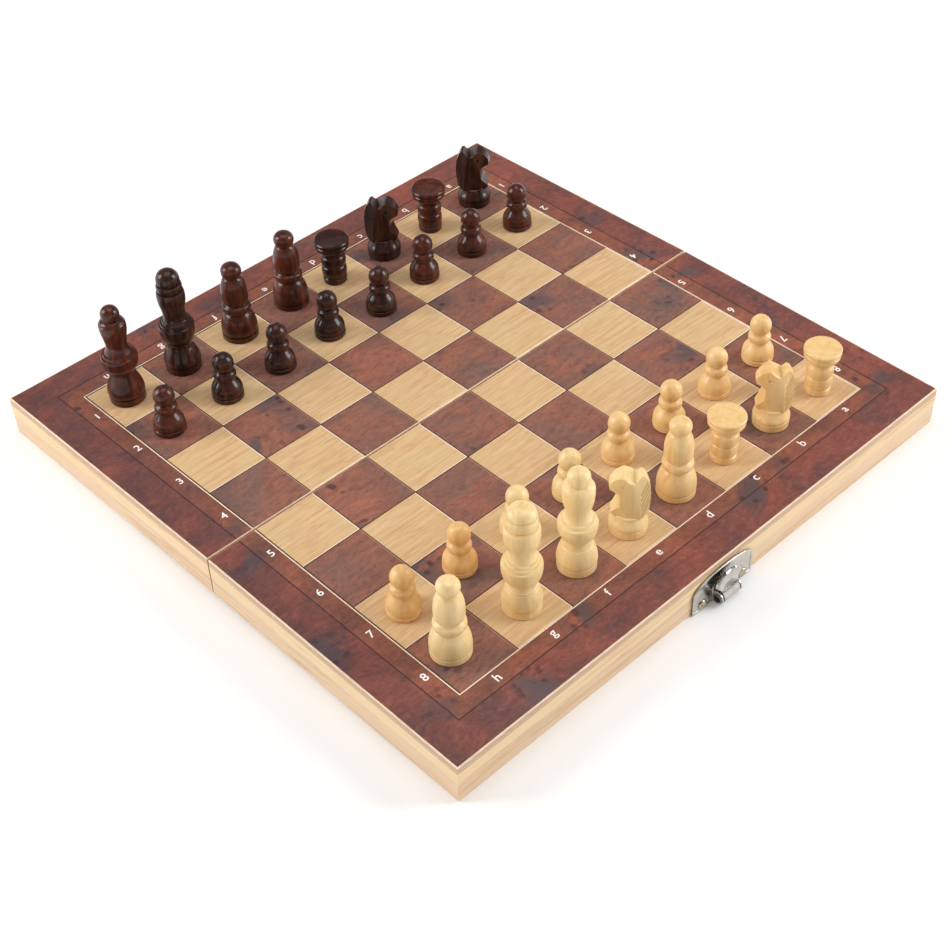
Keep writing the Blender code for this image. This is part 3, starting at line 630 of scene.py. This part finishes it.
# Turned outlines from the foot up: (height, radius), with a third value where the profile has a sharp turn.
OUTLINES = {
    "pawn": [
        (0, 5.5, 1), (0.3, 5.9, 1), (1.9, 5.95, 1), (2.15, 5.5, 1), (2.45, 5.55, 1), (2.7, 5.9),
        (3.7, 5.85), (5.0, 5.6), (6.2, 5.0), (7.2, 4.25), (8.0, 3.65), (8.6, 3.3, 1), (8.8, 3.6, 1),
        (9.4, 4.05), (10.4, 4.2), (11.4, 3.95), (12.0, 3.4, 1), (12.3, 2.9, 1), (12.7, 3.0),
        (13.5, 3.55), (14.6, 3.87), (15.8, 3.9), (17.2, 3.55), (18.5, 2.6), (19.3, 1.3), (19.5, 0),
    ],
    "rook": [
        (0, 4.4, 1), (0.3, 4.7, 1), (2.3, 4.75, 1), (2.6, 4.35, 1), (2.9, 4.4, 1), (3.4, 4.75),
        (5.2, 5.0), (7.0, 4.8), (7.6, 4.4, 1), (8.2, 4.75), (9.9, 4.95), (11.5, 4.75), (12.1, 4.3, 1),
        (12.5, 4.15), (13.4, 4.15), (14.2, 4.6), (15.0, 5.6), (15.6, 6.3, 1), (16.2, 6.6),
        (17.2, 6.65, 1), (17.5, 6.35, 1), (17.8, 6.4, 1), (18.1, 6.85, 1), (19.1, 6.85, 1),
        (19.45, 6.5, 1), (19.5, 5.9, 1), (19.4, 5.6, 1), (19.45, 0, 1),
    ],
    "bishop": [
        (0, 6.55, 1), (0.3, 6.9, 1), (2.1, 6.9, 1), (2.3, 6.35, 1), (2.6, 6.4, 1), (2.9, 6.85),
        (3.7, 6.95), (6.0, 6.8), (8.1, 6.3), (9.4, 5.8), (10.6, 5.1), (11.2, 4.55, 1), (11.5, 4.6, 1),
        (11.9, 5.15), (13.0, 5.5), (14.4, 5.3), (15.0, 4.6, 1), (15.3, 4.25, 1), (15.6, 4.3, 1),
        (16.3, 4.8), (17.5, 5.05), (20.0, 5.1), (22.4, 4.9), (24.4, 4.45), (26.2, 3.7), (26.9, 3.15, 1),
        (27.2, 3.15, 1), (27.8, 3.6), (29.2, 3.9), (30.6, 3.7), (31.7, 2.9), (32.3, 1.6), (32.5, 0),
    ],
    "light_queen": [
        (0, 6.35, 1), (0.3, 6.7, 1), (2.8, 6.75, 1), (3.0, 6.3, 1), (3.3, 6.35, 1), (3.6, 6.85),
        (5.2, 6.85), (7.6, 6.35), (9.6, 5.65), (10.3, 5.3, 1), (10.5, 5.0, 1), (11.9, 4.65),
        (13.0, 4.5), (13.5, 4.7, 1), (14.8, 5.7), (16.5, 6.35), (18.2, 6.65), (19.8, 6.7, 1),
        (20.6, 6.5, 1), (20.9, 5.9, 1), (22.0, 5.5, 1), (22.2, 4.9, 1), (22.9, 4.4), (23.9, 4.15),
        (25.0, 4.1), (26.5, 4.35), (28.8, 4.95), (30.7, 5.25), (33.2, 5.4), (35.1, 5.35), (36.2, 4.9),
        (36.6, 4.5, 1), (37.0, 3.9), (37.3, 3.4, 1), (38.0, 3.7), (39.2, 3.85), (40.6, 3.65),
        (41.8, 2.9), (42.5, 1.7), (42.8, 0),
    ],
    "dark_queen": [
        (0, 6.35, 1), (0.3, 6.7, 1), (2.8, 6.75, 1), (3.0, 6.3, 1), (3.3, 6.35, 1), (3.6, 6.85),
        (5.2, 6.85), (7.6, 6.2), (9.6, 5.4), (11.9, 4.6), (12.9, 4.5), (13.5, 4.8, 1), (14.4, 5.6),
        (16.3, 6.4), (18.2, 6.65), (19.5, 6.7, 1), (20.1, 6.5, 1), (20.3, 5.9, 1), (21.4, 5.7, 1),
        (21.6, 5.0, 1), (23.0, 4.3), (24.4, 3.9), (26.0, 4.0), (29.0, 4.5), (31.0, 4.85), (32.9, 4.95),
        (34.2, 4.85, 1), (34.5, 4.6), (35.1, 4.3, 1), (35.6, 3.7), (35.9, 3.1, 1), (36.8, 3.35),
        (37.9, 3.45), (39.2, 3.25), (40.4, 2.5), (41.1, 1.3), (41.3, 0),
    ],
    "light_king": [
        (0, 6.3, 1), (0.3, 6.6, 1), (3.0, 6.6, 1), (3.2, 6.3, 1), (3.5, 6.35, 1), (3.8, 6.75),
        (5.5, 6.7), (7.5, 6.2), (9.6, 5.5, 1), (9.8, 5.2, 1), (10.4, 5.1), (10.7, 4.7, 1), (12.2, 4.55),
        (12.9, 4.85, 1), (13.4, 5.3), (15.0, 6.2), (17.0, 6.7), (19.6, 6.8, 1), (20.3, 6.7, 1),
        (20.5, 6.2, 1), (21.6, 6.0, 1), (21.8, 5.4, 1), (22.6, 5.2, 1), (22.8, 4.6, 1), (23.6, 4.35),
        (25.0, 4.2), (26.4, 4.4), (27.7, 4.8), (29.6, 5.5), (31.4, 5.9), (33.9, 6.0), (35.6, 5.85),
        (36.5, 5.4, 1), (36.8, 4.6, 1), (37.2, 4.6, 1), (37.4, 5.0, 1), (39.0, 5.15), (40.6, 4.9, 1),
        (40.8, 4.4, 1), (41.1, 4.4, 1), (41.2, 4.65), (42.4, 4.6), (43.5, 3.9), (44.1, 2.6),
        (44.3, 1.2), (44.35, 0),
    ],
    "dark_king": [
        (0, 6.4, 1), (0.3, 6.7, 1), (3.0, 6.7, 1), (3.2, 6.3, 1), (3.5, 6.35, 1), (3.8, 6.95),
        (5.5, 6.9), (7.5, 6.2), (9.6, 5.3, 1), (10.7, 4.7), (12.2, 4.55), (12.9, 4.85, 1), (13.4, 5.3),
        (15.0, 6.2), (17.0, 6.6), (19.4, 6.7, 1), (20.1, 6.5, 1), (20.3, 6.0, 1), (21.5, 5.8, 1),
        (21.7, 5.2, 1), (22.6, 4.9, 1), (22.8, 4.5), (24.7, 4.2), (27.0, 4.35), (30.0, 5.0),
        (32.0, 5.2), (34.0, 5.15), (35.1, 4.9, 1), (35.3, 4.3, 1), (35.7, 4.3, 1), (35.9, 4.7, 1),
        (37.3, 4.75), (38.2, 4.5, 1), (38.4, 3.95, 1), (38.7, 3.95, 1), (38.9, 4.25), (40.0, 4.35),
        (41.6, 4.0), (43.0, 3.0), (43.8, 1.5), (44.0, 0),
    ],
    "knight": [
        (0, 6.25, 1), (0.3, 6.6, 1), (2.9, 6.7, 1), (3.1, 6.3, 1), (3.4, 6.35, 1), (3.7, 6.7),
        (4.7, 6.5), (6.0, 5.7), (7.0, 5.2), (7.8, 5.0, 1), (8.1, 4.6, 1), (8.2, 0, 1),
    ],
}
TURNING_STEPS = 56


def smooth_run(points, steps=5):
    """Points along a curve through the given ones, by Catmull-Rom spans."""
    if len(points) < 3:
        return points
    padded = [points[0] * 2 - points[1], *points, points[-1] * 2 - points[-2]]
    curve = []
    for before, start, end, after in zip(padded, padded[1:], padded[2:], padded[3:]):
        for step in range(steps):
            t = step / steps
            square = 2 * before - 5 * start + 4 * end - after
            cube = 3 * start - before - 3 * end + after
            curve.append(0.5 * (2 * start + (end - before) * t + square * t ** 2 + cube * t ** 3))
    return curve + [points[-1]]


def turned_profile(outline):
    """The outline as a fine polyline, smooth between its sharp points."""
    runs = [[]]
    for height, radius, *sharp in outline:
        point = Vector((radius, height))
        runs[-1].append(point)
        if sharp:
            runs.append([point])
    profile = []
    for run in runs:
        for point in smooth_run(run):
            if not profile or (point - profile[-1]).length > 0.01:
                profile.append(Vector((max(point.x, 0.0), point.y)))
    return profile


def turned_mesh(name, outline):
    """Spins the fine outline about Z and closes its foot with a shallow dish."""
    profile = turned_profile(outline)
    rim = profile[0].x
    profile = [Vector((0, 0.25)), Vector((rim - 0.9, 0.25)), Vector((rim - 0.7, 0.0)), *profile]
    bm = bmesh.new()
    chain = [bm.verts.new(Vector((point.x, 0, point.y)) * MM) for point in profile]
    edges = [bm.edges.new(pair) for pair in zip(chain, chain[1:])]
    bmesh.ops.spin(bm, geom=chain + edges, axis=(0, 0, 1), cent=(0, 0, 0), angle=2 * math.pi,
                   steps=TURNING_STEPS, use_merge=True)
    bmesh.ops.remove_doubles(bm, verts=bm.verts, dist=0.000002)
    return mesh_from(bm, name, 32)


def extruded(name, outline, thickness, bevel, holes=()):
    """A flat blank cut to an outline in (forward, height), standing across Y with rounded arrises."""
    curve = bpy.data.curves.new(name, "CURVE")
    curve.dimensions = "2D"
    curve.fill_mode = "BOTH"
    curve.extrude = (thickness / 2 - bevel) * MM
    curve.bevel_depth = bevel * MM
    curve.bevel_resolution = 3
    curve.offset = -bevel * MM
    for loop in (outline, *holes):
        spline = curve.splines.new("POLY")
        spline.points.add(len(loop) - 1)
        for point, (x, y) in zip(spline.points, loop):
            point.co = (x * MM, y * MM, 0, 1)
        spline.use_cyclic_u = True
    bm = bmesh.new()
    bm.from_mesh(mesh_of(curve))
    bmesh.ops.remove_doubles(bm, verts=bm.verts, dist=0.000005)
    bmesh.ops.transform(bm, matrix=Matrix.Rotation(math.radians(90), 4, "X"), verts=bm.verts)
    return mesh_from(bm, name)


def block(name, size, place):
    bm = bmesh.new()
    bmesh.ops.create_cube(bm, size=1.0, matrix=place @ Matrix.Diagonal((*[s * MM for s in size], 1)))
    return mesh_from(bm, name)


def combined(name, base, changes):
    """The base mesh after a run of EXACT Booleans, given as (operation, mesh)."""
    target = bpy.data.objects.new(name, base)
    bpy.context.scene.collection.objects.link(target)
    helpers = []
    for operation, mesh in changes:
        helper = bpy.data.objects.new("helper", mesh)
        bpy.context.scene.collection.objects.link(helper)
        boolean = target.modifiers.new("change", "BOOLEAN")
        boolean.operation = operation
        boolean.object = helper
        helpers.append(helper)
    graph = bpy.context.evaluated_depsgraph_get()
    result = bpy.data.meshes.new_from_object(target.evaluated_get(graph))
    for helper in [*helpers, target]:
        bpy.data.objects.remove(helper, do_unlink=True)
    result.name = name
    return result


# A knight's side view, facing +X, in (forward, height).
KNIGHT_OUTLINE = [
    (4.8, 6.0), (6.0, 8.2), (6.2, 9.2), (5.3, 10.5), (4.4, 11.8), (3.7, 13.4), (3.4, 15.5),
    (3.6, 17.8), (5.2, 18.7), (6.7, 19.3), (7.0, 20.2), (6.5, 22.0), (5.1, 23.8), (3.6, 24.7),
    (2.2, 25.0), (0.4, 24.0), (-1.5, 22.9), (-2.4, 23.5), (-3.5, 25.2), (-4.4, 25.0), (-5.5, 23.2),
    (-6.4, 20.6), (-6.9, 17.0), (-6.8, 13.4), (-6.4, 10.2), (-4.8, 6.0),
]
KNIGHT_THICKNESS = 8.4
# The round blank that the head is cut from, necked in above the foot.
KNIGHT_BLANK = [
    (0, 4.6, 1), (6.6, 4.7, 1), (7.6, 5.6), (9.0, 6.5), (11.0, 6.95), (14.0, 7.05),
    (30.0, 7.05, 1), (30.0, 0),
]


def cylinder(name, radius, depth, place, segments=64):
    bm = bmesh.new()
    bmesh.ops.create_cone(bm, cap_ends=True, segments=segments, radius1=radius * MM, radius2=radius * MM,
                          depth=depth * MM, matrix=place)
    return mesh_from(bm, name)


def knight_mesh(name):
    """A knight facing +X: a round blank with flat sides on a turned foot, pared with a knife."""
    half = KNIGHT_THICKNESS / 2
    changes = [("INTERSECT", turned_mesh("blank", KNIGHT_BLANK))]
    for side in (-1, 1):
        mane = at(-4.9, side * (half + 0.58), 17) @ turned(side * 26, "Z") @ turned(side * 5, "X")
        cheek = at(4.6, side * (half + 0.85), 20) @ turned(-side * 21, "Z") @ turned(side * 4, "X")
        breast = at(4.8, side * (half + 0.85), 10) @ turned(-side * 24, "Z") @ turned(-side * 12, "X")
        changes.append(("DIFFERENCE", block("mane", (14, 4, 34), mane)))
        changes.append(("DIFFERENCE", block("cheek", (9.5, 4, 13), cheek)))
        changes.append(("DIFFERENCE", block("breast", (9, 4, 7.5), breast)))
        for index in range(5):
            lock = mane @ at(-1.2, -side * 1.97, -5.4 + 2.3 * index) @ turned(-118, "Y") @ turned(45, "X")
            changes.append(("DIFFERENCE", block("lock", (7.5, 0.55, 0.55), lock)))
        eye = at(2.5, side * (half - 0.4), 21.6) @ turned(90, "X")
        changes.append(("DIFFERENCE", cylinder("eye", 0.6, 1.1, eye, 20)))
    changes.append(("UNION", turned_mesh("foot", OUTLINES["knight"])))
    head = extruded("head", KNIGHT_OUTLINE, KNIGHT_THICKNESS, 0.5)
    return smoothed(combined(name, head, changes), 28)


# The way each side's knights face.
HEADINGS = {"light": math.radians(135), "dark": math.radians(-50)}
# The clearance under each man.
FOOT_GAP = 0.03
# The squares of the men whose wood is yellower, warmer or redder than the others'.
HONEY_MEN = {"h7", "g7"}
WARM_MEN = {"d8", "c8", "b8", "a8", "a7", "b7", "c7", "d7"}
RED_MEN = {"h2", "e1", "f1", "c2", "b1", "a2", "b2", "h1"}


def standing_place(node, half):
    """Where a man stands: the middle of the lowest ring of its CAD solid, in its half's own plane."""
    inverse = half["place"].inverted()
    points = [inverse @ vertex.co for vertex in node.data.vertices]
    floor = min(point.z for point in points)
    ring = [point for point in points if point.z < floor + 0.1 * MM]
    return Vector((sum(p.x for p in ring) / len(ring), sum(p.y for p in ring) / len(ring),
                   (PANEL_TOP + FOOT_GAP) * MM))


def wood_of(shade, square):
    if shade == "dark":
        return RED_MAHOGANY if square in RED_MEN else EBONISED
    if square in HONEY_MEN:
        return HONEY_BOXWOOD
    return WARM_BOXWOOD if square in WARM_MEN else BOXWOOD


shapes = {}
for name, node in nodes.items():
    if not name.startswith(("light_", "dark_")):
        continue
    shade, kind, square = name.split("_")
    if (shade, kind) not in shapes:
        mesh_name = f"{shade}_{kind}_turned"
        if kind == "knight":
            shapes[shade, kind] = knight_mesh(mesh_name)
        else:
            outline = OUTLINES.get(kind) or OUTLINES[f"{shade}_{kind}"]
            shapes[shade, kind] = turned_mesh(mesh_name, outline)
    half = HALVES["front" if shade == "light" else "back"]
    turn = HEADINGS[shade] if kind == "knight" else random.uniform(0, 2 * math.pi)
    place = half["place"] @ Matrix.Translation(standing_place(node, half)) @ Matrix.Rotation(turn, 4, "Z")
    mesh = shapes[shade, kind].copy()
    mesh.materials.clear()
    add_piece(f"{name}_man", mesh, [wood_of(shade, square)], place, name, [name])


# ---- Catch and keeper ----

# Millimetres: +X along the rail, -Y out from its face, +Z up, from the middle of the plate.
CATCH_X = 0.5
PLATE_HALF = 15.0
PLATE_FOOT = 0.25
PLATE_SHOULDER = 8.6
PLATE_TOP = 14.0
PLATE_BACK = 0.3
PLATE_FRONT = 1.0
RIM_WIDTH = 0.9
AXIS_OUT = 2.9
AXIS_HEIGHT = 2.9
ROLL_RADIUS = 2.1
SHEET = 0.55
EAR_INNER = 4.4
EAR_THICKNESS = 0.6
SCREW_X = 10.3
SCREW_HEIGHT = 2.6
NUB_RADIUS = 2.2
NUB_LENGTH = 1.9
NUB_HEIGHT = 3.9


def round_loop(x, y, radius, first=0, last=345, step=15):
    """Points on a circle, from the first angle to the last, in degrees."""
    angles = [math.radians(angle) for angle in range(first, last + 1, step)]
    return [(x + radius * math.cos(angle), y + radius * math.sin(angle)) for angle in angles]


def plate_outline(notch):
    """The arched plate; a notch of this half width is cut up from its foot."""
    rise = PLATE_TOP - PLATE_SHOULDER
    arch = [(PLATE_HALF * math.cos(angle), PLATE_SHOULDER + rise * math.sin(angle) ** 0.8)
            for angle in (math.radians(5 * i) for i in range(18))]
    right = [(notch, 6.2), (notch, PLATE_FOOT)] if notch else []
    right += [(PLATE_HALF, PLATE_FOOT), *arch]
    return right + [(0, PLATE_TOP)] + [(-x, y) for x, y in reversed(right)]


def plate_mesh(name, notch):
    """A pressed plate with a raised rim along its edge."""
    outline = plate_outline(notch)
    sheet = extruded("sheet", inset_outline(outline, 0.3), 0.45, 0.1)
    sheet.transform(at(0, -PLATE_BACK - 0.225, 0))
    inner = [tuple(point) for point in inset_outline(outline, RIM_WIDTH)]
    rim = extruded("rim", outline, PLATE_FRONT - PLATE_BACK, 0.25, [inner])
    rim.transform(at(0, -(PLATE_FRONT + PLATE_BACK) / 2, 0))
    return combined(name, sheet, [("UNION", rim)])


def ear_mesh(x):
    """A lug of the plate beside the roll, bored for the rivet."""
    radius = ROLL_RADIUS + SHEET / 2
    low, high = AXIS_HEIGHT - radius, AXIS_HEIGHT + radius
    outline = [(0.6, low), *round_loop(AXIS_OUT, AXIS_HEIGHT, radius, -90, 90), (0.6, high)]
    ear = extruded("ear", outline, EAR_THICKNESS, 0.12, [round_loop(AXIS_OUT, AXIS_HEIGHT, 1.8)])
    ear.transform(at(x, 0, 0) @ turned(-90, "Z"))
    return ear


def tongue_mesh():
    """The sheet of the tongue: curled round the rivet, rising in front of it and hollowed like a spoon."""
    roll = round_loop(AXIS_OUT, AXIS_HEIGHT, ROLL_RADIUS, 100, 400, 12)
    curl = [Vector((out, height, 3.9, 0)) for out, height in roll]
    # Each row: out from the rail, height, half width, depth of the hollow.
    rows = [Vector(row) for row in (
        (4.0, 5.2, 3.95, 0.0), (3.0, 6.3, 4.2, 0.2), (2.1, 7.6, 5.6, 0.9), (1.75, 9.2, 6.5, 1.4),
        (1.85, 10.9, 6.0, 1.3), (2.3, 12.3, 4.6, 0.8), (3.3, 13.4, 2.4, 0.2))]
    path = curl + smooth_run(rows, 6)
    columns = 24
    bm = bmesh.new()
    grid = []
    for out, height, half_width, hollow in path:
        steps = [2 * i / columns - 1 for i in range(columns + 1)]
        line = [Vector((s * half_width, -(out + hollow * s * s), height)) for s in steps]
        grid.append([bm.verts.new(point * MM) for point in line])
    for lower, upper in zip(grid, grid[1:]):
        for i in range(columns):
            bm.faces.new((lower[i], lower[i + 1], upper[i + 1], upper[i]))
    return smoothed(mesh_of(mesh_from(bm, "sheet"), thickness=SHEET * MM, offset=0), 50)


def rivet_mesh():
    length = 2 * (EAR_INNER + EAR_THICKNESS + 0.35)
    place = at(0, -AXIS_OUT, AXIS_HEIGHT) @ turned(90, "Y")
    tube = cylinder("rivet", 1.75, length, place)
    return combined("rivet", tube, [("DIFFERENCE", cylinder("bore", 1.45, length + 2, place))])


def screw_mesh(turn):
    """A slotted round head on the plate."""
    head = turned_mesh("head", [(0, 1.75, 1), (0.25, 1.85), (0.6, 1.55), (0.85, 0.85), (0.92, 0)])
    slot = block("slot", (0.5, 5, 0.9), at(0, 0, 1.0))
    mesh = combined("plate_screw", head, [("DIFFERENCE", slot)])
    mesh.transform(turned(90, "X") @ turned(turn, "Z"))
    return smoothed(mesh)


def catch_place(half):
    """The middle of the catch on the outer rail of a half, with -Y out from the rail."""
    side = HALVES[half]["side"]
    return HALVES[half]["place"] @ at(CATCH_X, side * HALF_BOARD, 0) @ turned(90 + side * 90, "Z")


def add_catch_plate(half, prefix, notch, extras):
    """The plate of one half with its extra parts, and its two screws."""
    place, body = catch_place(half), HALVES[half]["body"]
    plate = combined(f"{prefix}_plate", plate_mesh(f"{prefix}_plate", notch),
                     [("UNION", extra) for extra in extras])
    add_piece(f"{prefix}_pressed_plate", smoothed(plate), [NICKEL], place, body,
              [f"{prefix}_plate"])
    for sign in (-1, 1):
        screw_side = "left" if sign * HALVES[half]["side"] > 0 else "right"
        screw_place = place @ at(sign * SCREW_X, -PLATE_FRONT + 0.25, SCREW_HEIGHT)
        add_piece(f"{prefix}_{screw_side}_slotted_screw", screw_mesh(random.uniform(-60, 60)), [PLATED_BRASS],
                  screw_place, body, [f"{prefix}_{screw_side}_screw"])


ear_middle = EAR_INNER + EAR_THICKNESS / 2
add_catch_plate("front", "latch", EAR_INNER, [ear_mesh(-ear_middle), ear_mesh(ear_middle)])
nub = cylinder("nub", NUB_RADIUS, NUB_LENGTH, at(0, -1.2, NUB_HEIGHT) @ turned(90, "X"))
add_catch_plate("back", "keeper", 0, [nub])
place = catch_place("front")
add_piece("latch_spoon", tongue_mesh(), [POLISHED], place, "catch_tongue", ["latch_tongue"])
add_piece("latch_hollow_rivet", smoothed(rivet_mesh()), [STEEL], place, "catch_tongue",
          ["latch_pin"])


# ---- Floor, light and camera ----

def studio_floor():
    """A pale floor that glows a little more with distance, so that it stays even to the horizon."""
    bm = bmesh.new()
    bmesh.ops.create_grid(bm, x_segments=1, y_segments=1, size=6.0)
    floor = bpy.data.objects.new("floor", mesh_from(bm, "floor"))
    shade = Shade("pale_floor")
    mottle = shade.noise(shade.object_space(), 3, 2)
    tone = shade.ramp(mottle, (0.3, 0.96), (0.7, 0.98))
    distance = shade.node("ShaderNodeVectorMath", {0: shade.object_space()}, "Value", operation="LENGTH")
    glow = shade.span(distance, 0.35, 1.8, 0.06, 0.7)
    shade.set(Base_Color=tone, Roughness=0.9, Specular_IOR_Level=0.1, Emission_Color=(1, 1, 1, 1),
              Emission_Strength=glow)
    floor.data.materials.append(shade.material)
    bpy.context.scene.collection.objects.link(floor)


def softbox(name, place, target, size, power):
    light = bpy.data.lights.new(name, "AREA")
    light.shape = "RECTANGLE"
    light.size, light.size_y = size
    light.energy = power
    box = bpy.data.objects.new(name, light)
    box.location = place
    box.rotation_euler = (Vector(target) - Vector(place)).to_track_quat("-Z", "Y").to_euler()
    bpy.context.scene.collection.objects.link(box)


def studio_world():
    """Even white light, bright at the horizon and dimmer overhead."""
    world = bpy.data.worlds.new("studio")
    world.use_nodes = True
    tree = world.node_tree
    background = tree.nodes["Background"]
    coordinates = tree.nodes.new("ShaderNodeTexCoord")
    height = tree.nodes.new("ShaderNodeSeparateXYZ")
    fade = tree.nodes.new("ShaderNodeMapRange")
    for name, value in (("From Min", 0.05), ("From Max", 0.3), ("To Min", 1.0), ("To Max", 0.24)):
        fade.inputs[name].default_value = value
    background.inputs["Color"].default_value = (1, 1, 1, 1)
    tree.links.new(coordinates.outputs["Generated"], height.inputs["Vector"])
    tree.links.new(height.outputs["Z"], fade.inputs["Value"])
    tree.links.new(fade.outputs["Result"], background.inputs["Strength"])
    bpy.context.scene.world = world


studio_floor()
studio_world()
softbox("left_softbox", (-0.80, 0.75, 0.62), (0, 0, 0.02), (0.6, 0.7), 10.5)
softbox("right_softbox", (0.85, -0.70, 0.62), (0, 0, 0.02), (0.6, 0.7), 10.5)
softbox("top_softbox", (0.1, 0.1, 1.3), (0, 0, 0), (0.9, 0.9), 5)
bpy.context.scene.view_settings.view_transform = "Standard"


def photo_camera():
    """The viewing angle: from the h8 corner, looking down at the middle of the board."""
    azimuth, elevation, roll = (math.radians(v) for v in (-42.38, 43.09, -2.33))
    back = Vector((math.sin(azimuth) * math.cos(elevation), -math.cos(azimuth) * math.cos(elevation),
                   math.sin(elevation)))
    right = (-back).cross(Vector((0, 0, 1))).normalized()
    up = right.cross(-back)
    camera_x = math.cos(roll) * right + math.sin(roll) * up
    camera_y = -math.sin(roll) * right + math.cos(roll) * up
    camera = bpy.data.objects.new("camera", bpy.data.cameras.new("camera"))
    camera.data.lens = 64.43
    camera.data.clip_start = 0.01
    rotation = Matrix((camera_x, camera_y, back)).transposed().to_4x4()
    camera.matrix_world = Matrix.Translation((-0.3198, -0.3524, 0.4201)) @ rotation
    bpy.context.scene.collection.objects.link(camera)
    bpy.context.scene.camera = camera


photo_camera()
bpy.context.view_layer.update()
